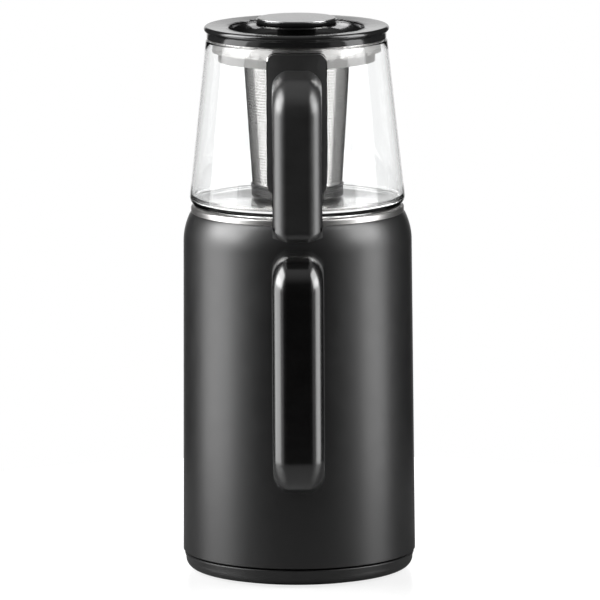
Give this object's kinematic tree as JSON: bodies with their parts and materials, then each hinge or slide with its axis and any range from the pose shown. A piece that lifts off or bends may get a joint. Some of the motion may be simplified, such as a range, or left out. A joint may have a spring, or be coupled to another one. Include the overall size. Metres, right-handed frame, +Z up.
{
  "type": "automatic tea maker",
  "caption": "Two-tier electric tea maker: cordless kettle on a round power base, glass teapot with infuser and knobbed lid on its rim.",
  "frame": {"origin": "centre of the rubber ring's underside, the face that the machine stands on", "axes": "+Z up along the axis of the vessels, the handles towards -Y, the spouts and the control lip towards +Y"},
  "size_m": [0.1572, 0.2258, 0.3753],
  "materials": {
    "black_paint": "satin black paint on steel",
    "black_plastic": "fine matte moulded black plastic",
    "black_gloss": "glossy moulded black plastic",
    "polished_steel": "polished stainless steel",
    "brushed_steel": "brushed stainless steel",
    "clear_glass": "clear heat-resistant glass",
    "rubber": "matte black rubber",
    "silicone": "dark translucent silicone",
    "cast_aluminium": "cast aluminium",
    "board": "green laminate",
    "lens": "milky light guide",
    "screw_steel": "zinc-plated steel"
  },
  "bodies": {
    "power_base": {"base_cover": "black_plastic", "base_floor": "black_plastic", "foot_ring": "rubber", "base_screws": "screw_steel", "base_plug": "black_plastic", "control_board": "board", "key_switches": "black_plastic", "indicator_lenses": "lens", "cord_gland": "rubber"},
    "boil_button": {"boil_button": "black_gloss"},
    "brew_button": {"brew_button": "black_gloss"},
    "kettle_socket": {"kettle_socket": "black_plastic"},
    "kettle": {"kettle_shell": "black_paint", "kettle_pot": "brushed_steel", "kettle_rim": "polished_steel", "kettle_spout": "black_paint", "kettle_bottom_cover": "black_plastic", "kettle_screws": "screw_steel", "heater_plate": "cast_aluminium", "heating_element": "brushed_steel", "thermostat": "black_plastic", "kettle_handle": "black_gloss", "kettle_handle_cover": "black_plastic", "kettle_handle_brackets": "brushed_steel", "kettle_handle_screws": "screw_steel"},
    "kettle_lid": {"kettle_lid": "polished_steel", "kettle_lid_seal": "silicone"},
    "teapot": {"teapot_glass": "clear_glass", "teapot_bracket": "brushed_steel", "teapot_handle_plate": "black_plastic", "teapot_grip": "black_gloss", "teapot_grip_cover": "black_plastic", "teapot_grip_screws": "screw_steel"},
    "infuser": {"infuser_flange": "polished_steel", "infuser_cone": "brushed_steel", "infuser_bottom": "brushed_steel"},
    "lid": {"lid_top": "black_gloss", "lid_liner": "black_plastic", "lid_gasket": "silicone", "lid_knob": "black_gloss", "knob_disc": "brushed_steel", "knob_ring": "polished_steel", "knob_screw": "screw_steel"}
  },
  "joints": [
    {"name": "kettle_lift", "type": "slide", "parent": "power_base", "child": "kettle_socket", "axis": [0, 0, 1], "range_m": [0, 0.06]},
    {"name": "kettle_turn", "type": "hinge", "parent": "kettle_socket", "child": "kettle", "pos_m": [0, 0, 0.02], "axis": [0, 0, 1], "continuous": true},
    {"name": "kettle_lid_lift", "type": "slide", "parent": "kettle", "child": "kettle_lid", "axis": [0, 0, 1], "range_m": [0, 0.04]},
    {"name": "teapot_lift", "type": "slide", "parent": "kettle_lid", "child": "teapot", "axis": [0, 0, 1], "range_m": [0, 0.06]},
    {"name": "infuser_lift", "type": "slide", "parent": "teapot", "child": "infuser", "axis": [0, 0, 1], "range_m": [0, 0.115]},
    {"name": "lid_lift", "type": "slide", "parent": "infuser", "child": "lid", "axis": [0, 0, 1], "range_m": [0, 0.05]},
    {"name": "boil_press", "type": "slide", "parent": "power_base", "child": "boil_button", "axis": [0, 0, -1], "range_m": [0, 0.0012], "stiffness_N_per_m": 400, "springref_m": -0.0015},
    {"name": "brew_press", "type": "slide", "parent": "power_base", "child": "brew_button", "axis": [0, 0, -1], "range_m": [0, 0.0012], "stiffness_N_per_m": 400, "springref_m": -0.0015}
  ]
}
